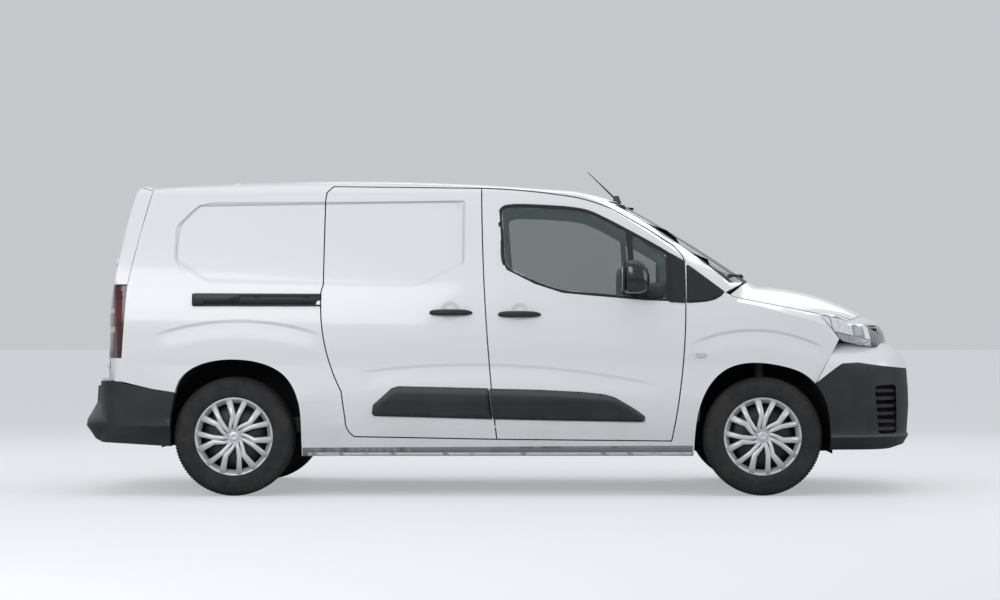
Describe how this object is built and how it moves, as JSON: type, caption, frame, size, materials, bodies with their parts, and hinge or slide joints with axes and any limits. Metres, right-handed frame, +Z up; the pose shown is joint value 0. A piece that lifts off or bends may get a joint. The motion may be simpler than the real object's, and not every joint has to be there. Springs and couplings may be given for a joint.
{
  "type": "compact panel van",
  "caption": "Long compact panel van with hinged front and rear doors, fixed sliding side doors, an opening bonnet, steered front wheels and a hollow cab and load space.",
  "frame": {"origin": "on the ground, below the middle of the van's length and width", "axes": "+X forward, +Y to the van's left, +Z up"},
  "size_m": [4.753, 2.106, 1.8779],
  "materials": {
    "body_paint": "gloss",
    "grained_plastic": "matt",
    "black_gloss": "gloss",
    "tinted_glass": "gloss",
    "lamp_clear": "gloss",
    "lamp_red": "gloss",
    "tyre": "matt",
    "wheel_silver": "satin",
    "cast_metal": "matt",
    "chassis_steel": "satin",
    "under_plastic": "matt",
    "floor_paint": "satin",
    "cabin_plastic": "matt",
    "seat_fabric": "matt"
  },
  "bodies": {
    "van": {"aerial": "grained_plastic", "bulkhead": "floor_paint", "bumper_cover": "body_paint", "cowl_panel": "grained_plastic", "dashboard": "cabin_plastic", "door_posts": "body_paint", "engine": "cast_metal", "fenders": "body_paint", "floor": "floor_paint", "front_bumper": "grained_plastic", "front_frame": "chassis_steel", "fuel_tank": "under_plastic", "grille": "black_gloss", "headlamps": "lamp_clear", "nose_panel": "body_paint", "quarter_panels": "body_paint", "rear_beam": "chassis_steel", "rear_bumper": "grained_plastic", "repeaters": "lamp_clear", "roof": "body_paint", "seats": "seat_fabric", "side_frames": "body_paint", "sills": "body_paint", "slide_trim": "grained_plastic", "sliding_doors": "body_paint", "steering_wheel": "cabin_plastic", "tail_lamps": "lamp_red", "wheel_liners": "under_plastic", "windscreen": "tinted_glass", "wipers": "grained_plastic"},
    "front_door_right": {"front_door_r": "body_paint", "door_glass_r": "tinted_glass", "door_trim_r": "grained_plastic", "mirror_r": "black_gloss"},
    "front_door_left": {"front_door_l": "body_paint", "door_glass_l": "tinted_glass", "door_trim_l": "grained_plastic", "mirror_l": "black_gloss"},
    "tail_door_right": {"tail_door_r": "body_paint"},
    "tail_door_left": {"tail_door_l": "body_paint"},
    "bonnet": {"bonnet": "body_paint"},
    "knuckle_right": {"knuckle_r": "cast_metal"},
    "knuckle_left": {"knuckle_l": "cast_metal"},
    "wheel_front_right": {"tyre_fr": "tyre", "wheel_fr": "wheel_silver"},
    "wheel_front_left": {"tyre_fl": "tyre", "wheel_fl": "wheel_silver"},
    "wheel_rear_right": {"tyre_rr": "tyre", "wheel_rr": "wheel_silver"},
    "wheel_rear_left": {"tyre_rl": "tyre", "wheel_rl": "wheel_silver"}
  },
  "joints": [
    {"name": "front_door_right_hinge", "type": "hinge", "parent": "van", "child": "front_door_right", "pos_m": [1.049, -0.93, 0.5], "axis": [0, 0.042, 0.9991], "range_deg": [0, 70]},
    {"name": "front_door_left_hinge", "type": "hinge", "parent": "van", "child": "front_door_left", "pos_m": [1.049, 0.93, 0.5], "axis": [0, 0.042, -0.9991], "range_deg": [0, 70]},
    {"name": "tail_door_right_hinge", "type": "hinge", "parent": "van", "child": "tail_door_right", "pos_m": [-2.2555, -0.88, 0.775], "axis": [0.1478, 0, 0.989], "range_deg": [0, 180]},
    {"name": "tail_door_left_hinge", "type": "hinge", "parent": "van", "child": "tail_door_left", "pos_m": [-2.2555, 0.88, 0.775], "axis": [-0.1478, 0, -0.989], "range_deg": [0, 180]},
    {"name": "bonnet_hinge", "type": "hinge", "parent": "van", "child": "bonnet", "pos_m": [1.2705, 0, 1.215], "axis": [0, -1, 0], "range_deg": [0, 50]},
    {"name": "steer_right", "type": "hinge", "parent": "van", "child": "knuckle_right", "pos_m": [1.4845, -0.7245, 0.195], "axis": [0, 0.204, 0.979], "range_deg": [-35, 35]},
    {"name": "steer_left", "type": "hinge", "parent": "van", "child": "knuckle_left", "pos_m": [1.4845, 0.7245, 0.195], "axis": [0, -0.204, 0.979], "range_deg": [-35, 35]},
    {"name": "wheel_front_right_spin", "type": "hinge", "parent": "knuckle_right", "child": "wheel_front_right", "pos_m": [1.4845, -0.7765, 0.335], "axis": [0, 1, 0], "continuous": true},
    {"name": "wheel_front_left_spin", "type": "hinge", "parent": "knuckle_left", "child": "wheel_front_left", "pos_m": [1.4845, 0.7765, 0.335], "axis": [0, 1, 0], "continuous": true},
    {"name": "wheel_rear_right_spin", "type": "hinge", "parent": "van", "child": "wheel_rear_right", "pos_m": [-1.4905, -0.784, 0.335], "axis": [0, 1, 0], "continuous": true},
    {"name": "wheel_rear_left_spin", "type": "hinge", "parent": "van", "child": "wheel_rear_left", "pos_m": [-1.4905, 0.784, 0.335], "axis": [0, 1, 0], "continuous": true}
  ],
  "couplings": [
    {"joint": "steer_left", "follows": "steer_right", "ratio": 1}
  ]
}
